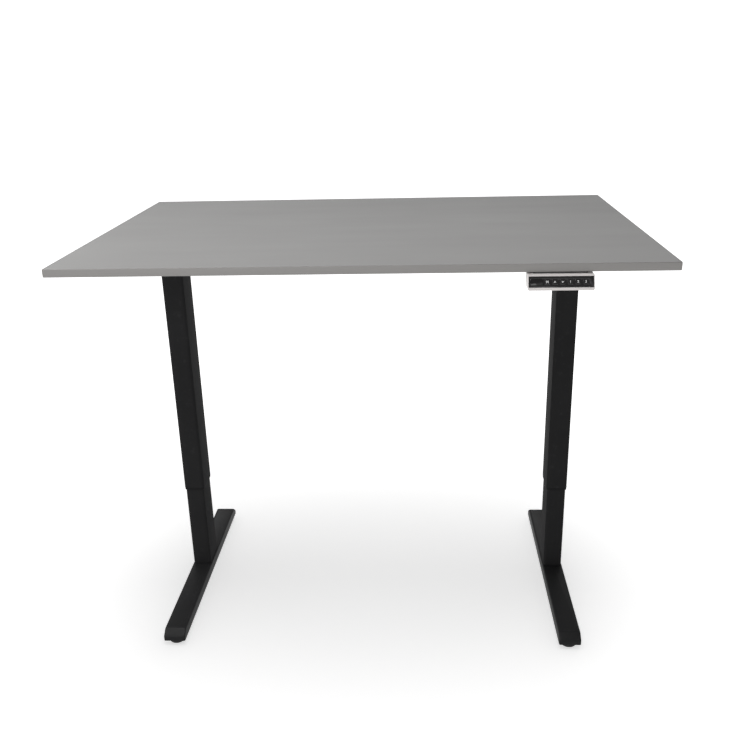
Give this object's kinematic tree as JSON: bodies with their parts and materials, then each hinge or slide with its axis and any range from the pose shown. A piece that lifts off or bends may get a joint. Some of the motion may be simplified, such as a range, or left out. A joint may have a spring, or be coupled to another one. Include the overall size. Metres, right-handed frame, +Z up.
{
  "type": "height adjustable standing desk",
  "caption": "Electric sit-stand desk: grey rectangular board on twin telescoping black steel columns with long flat feet, and a keypad under the front edge.",
  "frame": {"origin": "on the floor, under the middle of the whole desk's outline, keypad included", "axes": "+X along the desk's long side to the sitter's right, +Y away from the sitter, +Z up"},
  "size_m": [1.2, 0.816, 0.918],
  "materials": {
    "desktop_laminate": "fine-textured grey melamine on board",
    "edge_strip": "satin grey edging",
    "black_steel": "fine-textured black powder coat",
    "black_plastic": "moulded matt black",
    "glide_pad": "moulded black pad",
    "keypad_shell": "satin silver paint on plastic",
    "keypad_face": "gloss black",
    "button_face": "gloss black with a pale mark",
    "zinc_steel": "bright zinc",
    "nut_brass": "machined",
    "white_nylon": "moulded natural nylon",
    "circuit_board": "solder mask",
    "cast_alloy": "die cast",
    "motor_can": "semi-gloss black",
    "lead_jacket": "matt black jacket"
  },
  "bodies": {
    "leg_left": {"foot_left": "black_steel", "foot_plate_left": "zinc_steel", "inner_column_left": "black_steel", "glide_cap_left": "white_nylon", "spindle_nut_left": "nut_brass"},
    "leg_right": {"foot_right": "black_steel", "foot_plate_right": "zinc_steel", "inner_column_right": "black_steel", "glide_cap_right": "white_nylon", "spindle_nut_right": "nut_brass"},
    "desk": {"desktop_board": "desktop_laminate", "edge_band": "edge_strip", "rail_front": "black_steel", "rail_back": "black_steel", "side_bracket_left": "black_steel", "side_bracket_right": "black_steel", "head_bracket_left": "black_steel", "outer_column_left": "black_steel", "column_collar_left": "black_plastic", "gear_housing_left": "cast_alloy", "gear_cover_left": "cast_alloy", "spindle_bearing_left": "zinc_steel", "motor_left": "motor_can", "motor_lead_left": "lead_jacket", "head_bracket_right": "black_steel", "outer_column_right": "black_steel", "column_collar_right": "black_plastic", "gear_housing_right": "cast_alloy", "gear_cover_right": "cast_alloy", "spindle_bearing_right": "zinc_steel", "motor_right": "motor_can", "motor_lead_right": "lead_jacket", "keypad_plate": "black_plastic", "keypad_shell": "keypad_shell", "keypad_circuit": "circuit_board", "keypad_panel": "keypad_face", "display_window": "keypad_face", "keypad_lead": "lead_jacket", "control_case": "black_plastic", "control_lid": "black_plastic", "control_circuit": "circuit_board", "mains_inlet": "black_plastic"},
    "spindle_drive_left": {"spindle_left": "zinc_steel", "worm_wheel_left": "white_nylon"},
    "worm_drive_left": {"worm_shaft_left": "zinc_steel"},
    "glide_front_left": {"glide_front_left": "glide_pad"},
    "glide_back_left": {"glide_back_left": "glide_pad"},
    "spindle_drive_right": {"spindle_right": "zinc_steel", "worm_wheel_right": "white_nylon"},
    "worm_drive_right": {"worm_shaft_right": "zinc_steel"},
    "glide_front_right": {"glide_front_right": "glide_pad"},
    "glide_back_right": {"glide_back_right": "glide_pad"},
    "button_memory": {"button_memory": "button_face"},
    "button_up": {"button_up": "button_face"},
    "button_down": {"button_down": "button_face"},
    "button_preset_one": {"button_preset_one": "button_face"},
    "button_preset_two": {"button_preset_two": "button_face"},
    "button_preset_three": {"button_preset_three": "button_face"}
  },
  "joints": [
    {"name": "lift_left", "type": "slide", "parent": "leg_left", "child": "desk", "axis": [0, 0, 1], "range_m": [-0.208, 0.262]},
    {"name": "lift_right", "type": "slide", "parent": "desk", "child": "leg_right", "axis": [0, 0, 1], "range_m": [-0.262, 0.208]},
    {"name": "spindle_spin_left", "type": "hinge", "parent": "desk", "child": "spindle_drive_left", "pos_m": [-0.4575, 0.008, 0.868], "axis": [0, 0, 1], "continuous": true},
    {"name": "worm_spin_left", "type": "hinge", "parent": "desk", "child": "worm_drive_left", "pos_m": [-0.4575, -0.014, 0.868], "axis": [1, 0, 0], "continuous": true},
    {"name": "spindle_spin_right", "type": "hinge", "parent": "desk", "child": "spindle_drive_right", "pos_m": [0.4575, 0.008, 0.868], "axis": [0, 0, 1], "continuous": true},
    {"name": "worm_spin_right", "type": "hinge", "parent": "desk", "child": "worm_drive_right", "pos_m": [0.4575, 0.03, 0.868], "axis": [-1, 0, 0], "continuous": true},
    {"name": "level_front_left", "type": "slide", "parent": "leg_left", "child": "glide_front_left", "axis": [0, 0, 1], "range_m": [-0.003, 0.006]},
    {"name": "level_back_left", "type": "slide", "parent": "leg_left", "child": "glide_back_left", "axis": [0, 0, 1], "range_m": [-0.003, 0.006]},
    {"name": "level_front_right", "type": "slide", "parent": "leg_right", "child": "glide_front_right", "axis": [0, 0, 1], "range_m": [-0.003, 0.006]},
    {"name": "level_back_right", "type": "slide", "parent": "leg_right", "child": "glide_back_right", "axis": [0, 0, 1], "range_m": [-0.003, 0.006]},
    {"name": "press_memory", "type": "slide", "parent": "desk", "child": "button_memory", "axis": [0, 0.9354, -0.3537], "range_m": [0, 0.0006], "stiffness_N_per_m": 2500},
    {"name": "press_up", "type": "slide", "parent": "desk", "child": "button_up", "axis": [0, 0.9354, -0.3537], "range_m": [0, 0.0006], "stiffness_N_per_m": 2500},
    {"name": "press_down", "type": "slide", "parent": "desk", "child": "button_down", "axis": [0, 0.9354, -0.3537], "range_m": [0, 0.0006], "stiffness_N_per_m": 2500},
    {"name": "press_preset_one", "type": "slide", "parent": "desk", "child": "button_preset_one", "axis": [0, 0.9354, -0.3537], "range_m": [0, 0.0006], "stiffness_N_per_m": 2500},
    {"name": "press_preset_two", "type": "slide", "parent": "desk", "child": "button_preset_two", "axis": [0, 0.9354, -0.3537], "range_m": [0, 0.0006], "stiffness_N_per_m": 2500},
    {"name": "press_preset_three", "type": "slide", "parent": "desk", "child": "button_preset_three", "axis": [0, 0.9354, -0.3537], "range_m": [0, 0.0006], "stiffness_N_per_m": 2500}
  ],
  "couplings": [
    {"joint": "lift_right", "follows": "lift_left", "ratio": -1},
    {"joint": "spindle_spin_left", "follows": "lift_left", "rad_per_m": 523.6},
    {"joint": "worm_spin_left", "follows": "lift_left", "rad_per_m": -10472},
    {"joint": "spindle_spin_right", "follows": "lift_left", "rad_per_m": 523.6},
    {"joint": "worm_spin_right", "follows": "lift_left", "rad_per_m": -10472}
  ]
}
